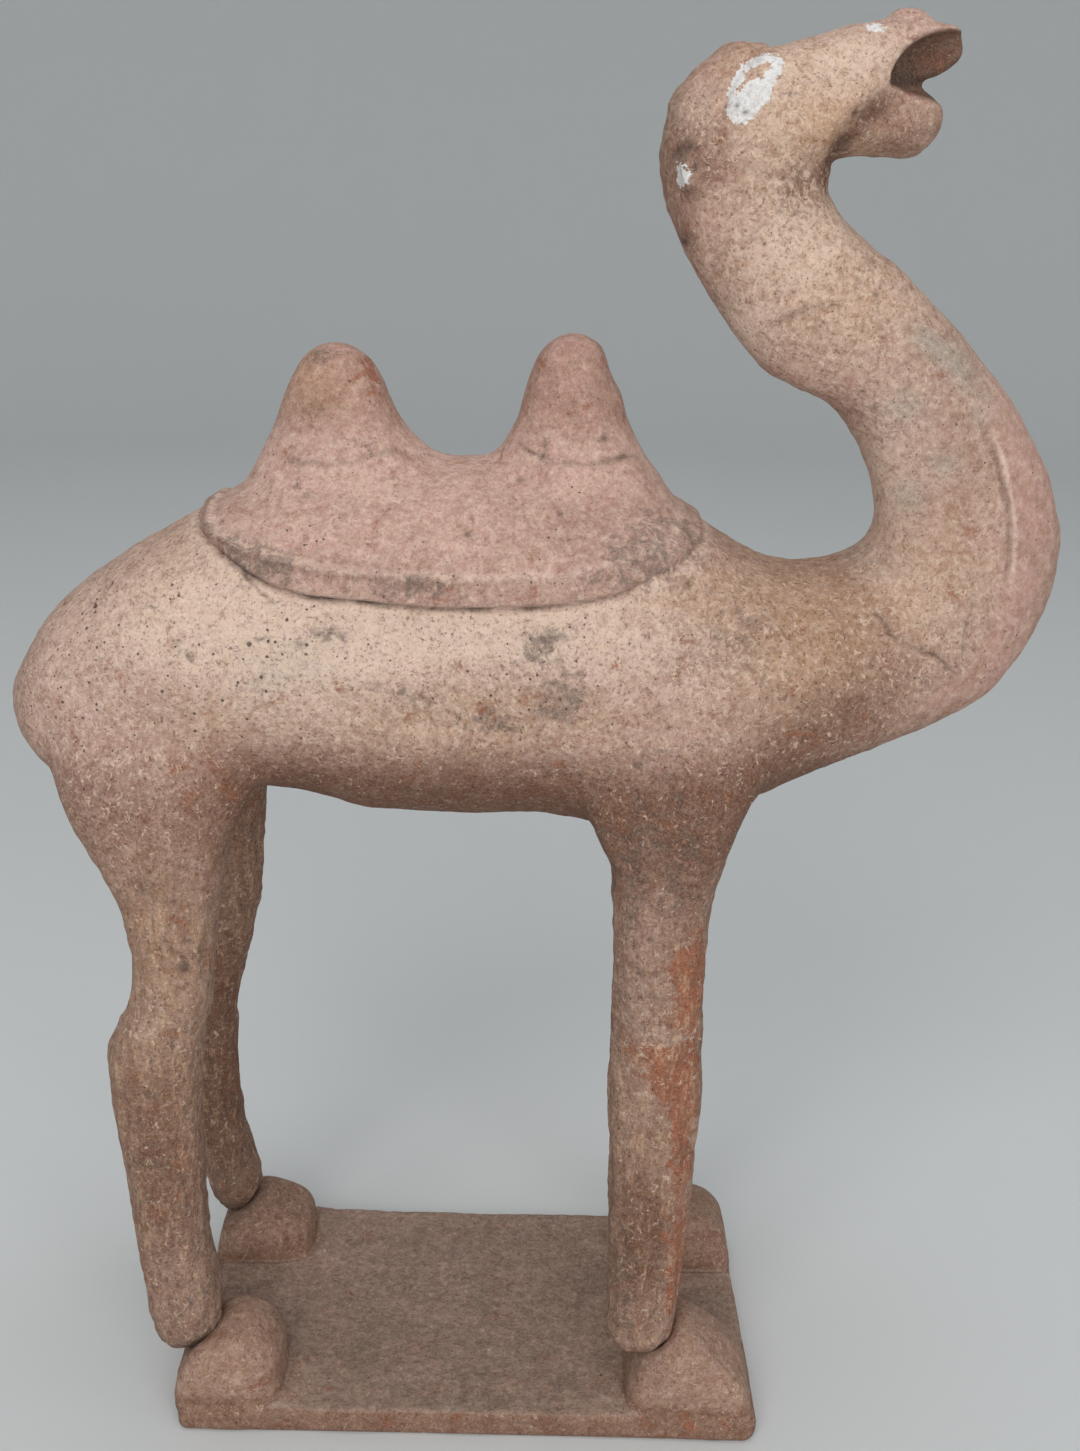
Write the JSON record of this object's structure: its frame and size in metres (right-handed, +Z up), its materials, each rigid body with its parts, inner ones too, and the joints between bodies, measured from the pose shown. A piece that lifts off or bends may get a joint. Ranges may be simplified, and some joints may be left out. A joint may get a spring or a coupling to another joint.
{
  "type": "terracotta camel",
  "caption": "Earthenware statue of a two-humped camel with a saddle blanket, standing with raised head on a rectangular clay slab.",
  "frame": {"origin": "centre of the slab's underside, on the surface it stands on", "axes": "+Z up, +X toward the camel's head, +Y to the camel's left, away from the side the picture shows"},
  "size_m": [0.3652, 0.127, 0.5055],
  "materials": {
    "terracotta_body": "matt unglazed earthenware, pinkish tan with worn slip and grey burial dirt",
    "terracotta_slab": "matt unglazed earthenware, greyish brown with paler tan feet"
  },
  "bodies": {
    "root": {"camel": "terracotta_body", "plinth": "terracotta_slab"}
  },
  "joints": []
}
